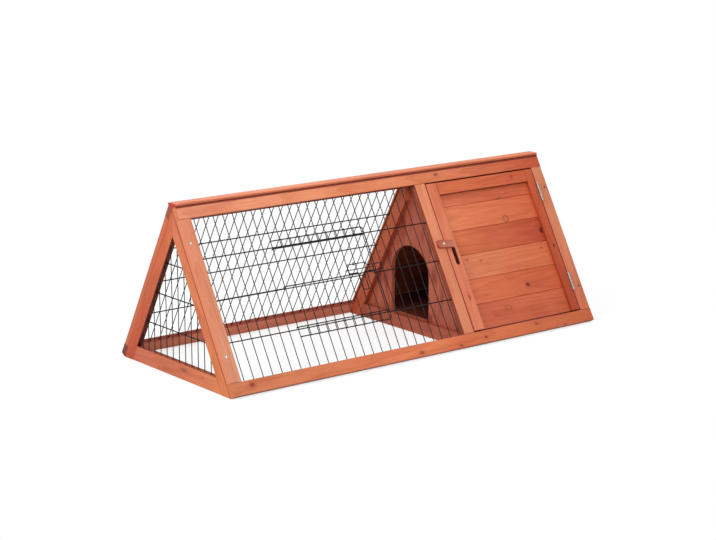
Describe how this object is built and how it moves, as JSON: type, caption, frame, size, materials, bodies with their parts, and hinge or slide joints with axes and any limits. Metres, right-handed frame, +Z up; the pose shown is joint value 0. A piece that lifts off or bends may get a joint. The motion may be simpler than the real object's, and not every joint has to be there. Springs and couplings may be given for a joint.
{
  "type": "rabbit hutch with run",
  "caption": "Triangular wooden pet hutch: a sloping wire run with a latched wire door, joined through an arched doorway to a plank house with a hinged side door and turn button.",
  "frame": {"origin": "centre of the footprint, on the ground", "axes": "+X along the ridge from the run to the house, +Y towards the back, +Z up; the side with both doors faces -Y"},
  "size_m": [1.18, 0.507, 0.4347],
  "materials": {
    "frame_wood": "satin red-brown stain",
    "plank_wood": "satin red-brown stain",
    "inner_wood": "matt red-brown stain",
    "black_wire": "satin black coating",
    "zinc_steel": "zinc plated"
  },
  "bodies": {
    "hutch": {"front_top_rail": "frame_wood", "front_bottom_rail": "frame_wood", "front_left_stile": "frame_wood", "front_mid_stile": "frame_wood", "front_right_stile": "frame_wood", "back_top_rail": "frame_wood", "back_bottom_rail": "frame_wood", "back_left_stile": "frame_wood", "back_mid_stile": "frame_wood", "back_right_stile": "frame_wood", "ridge_cap": "frame_wood", "left_end_front_leg": "frame_wood", "left_end_back_leg": "frame_wood", "left_end_rail": "frame_wood", "right_end_front_leg": "frame_wood", "right_end_back_leg": "frame_wood", "right_end_rail": "frame_wood", "partition_back_leg": "frame_wood", "partition_rail": "frame_wood", "front_mesh": "black_wire", "back_mesh": "black_wire", "left_end_mesh": "black_wire", "partition_panel": "inner_wood", "back_plank_1": "plank_wood", "back_plank_2": "plank_wood", "back_plank_3": "plank_wood", "back_plank_4": "plank_wood", "back_plank_5": "plank_wood", "back_plank_6": "plank_wood", "right_end_plank_1": "plank_wood", "right_end_plank_2": "plank_wood", "right_end_plank_3": "plank_wood", "right_end_plank_4": "plank_wood", "right_end_plank_5": "plank_wood", "floor_plank_1": "inner_wood", "floor_plank_2": "inner_wood", "floor_plank_3": "inner_wood", "floor_plank_4": "inner_wood", "floor_bearer_left": "inner_wood", "floor_bearer_right": "inner_wood", "hinge_frame_leaves": "zinc_steel", "hinge_pins": "zinc_steel", "turn_button_screw": "zinc_steel", "frame_screws": "zinc_steel"},
    "house_door": {"door_lock_stile": "frame_wood", "door_hinge_stile": "frame_wood", "door_top_rail": "frame_wood", "door_plank_1": "plank_wood", "door_plank_2": "plank_wood", "door_plank_3": "plank_wood", "door_plank_4": "plank_wood", "door_plank_5": "plank_wood", "door_plank_6": "plank_wood", "hinge_door_leaves": "zinc_steel"},
    "turn_button": {"turn_button": "frame_wood"},
    "wire_door": {"mesh_door": "black_wire", "latch_guides": "black_wire"},
    "latch_bolt": {"latch_bolt": "black_wire"}
  },
  "joints": [
    {"name": "house_door_hinge", "type": "hinge", "parent": "hutch", "child": "house_door", "pos_m": [0.5545, -0.13363, 0.2242], "axis": [0, 0.4955, 0.8686], "range_deg": [0, 180]},
    {"name": "turn_button_pivot", "type": "hinge", "parent": "hutch", "child": "turn_button", "pos_m": [0.165, -0.11603, 0.25042], "axis": [0, -0.8686, 0.4955], "continuous": true},
    {"name": "wire_door_hinge", "type": "hinge", "parent": "hutch", "child": "wire_door", "pos_m": [-0.349, -0.12966, 0.21284], "axis": [0, -0.4955, -0.8686], "range_deg": [0, 155]},
    {"name": "latch_slide", "type": "slide", "parent": "wire_door", "child": "latch_bolt", "axis": [-1, 0, 0], "range_m": [0, 0.031]}
  ]
}
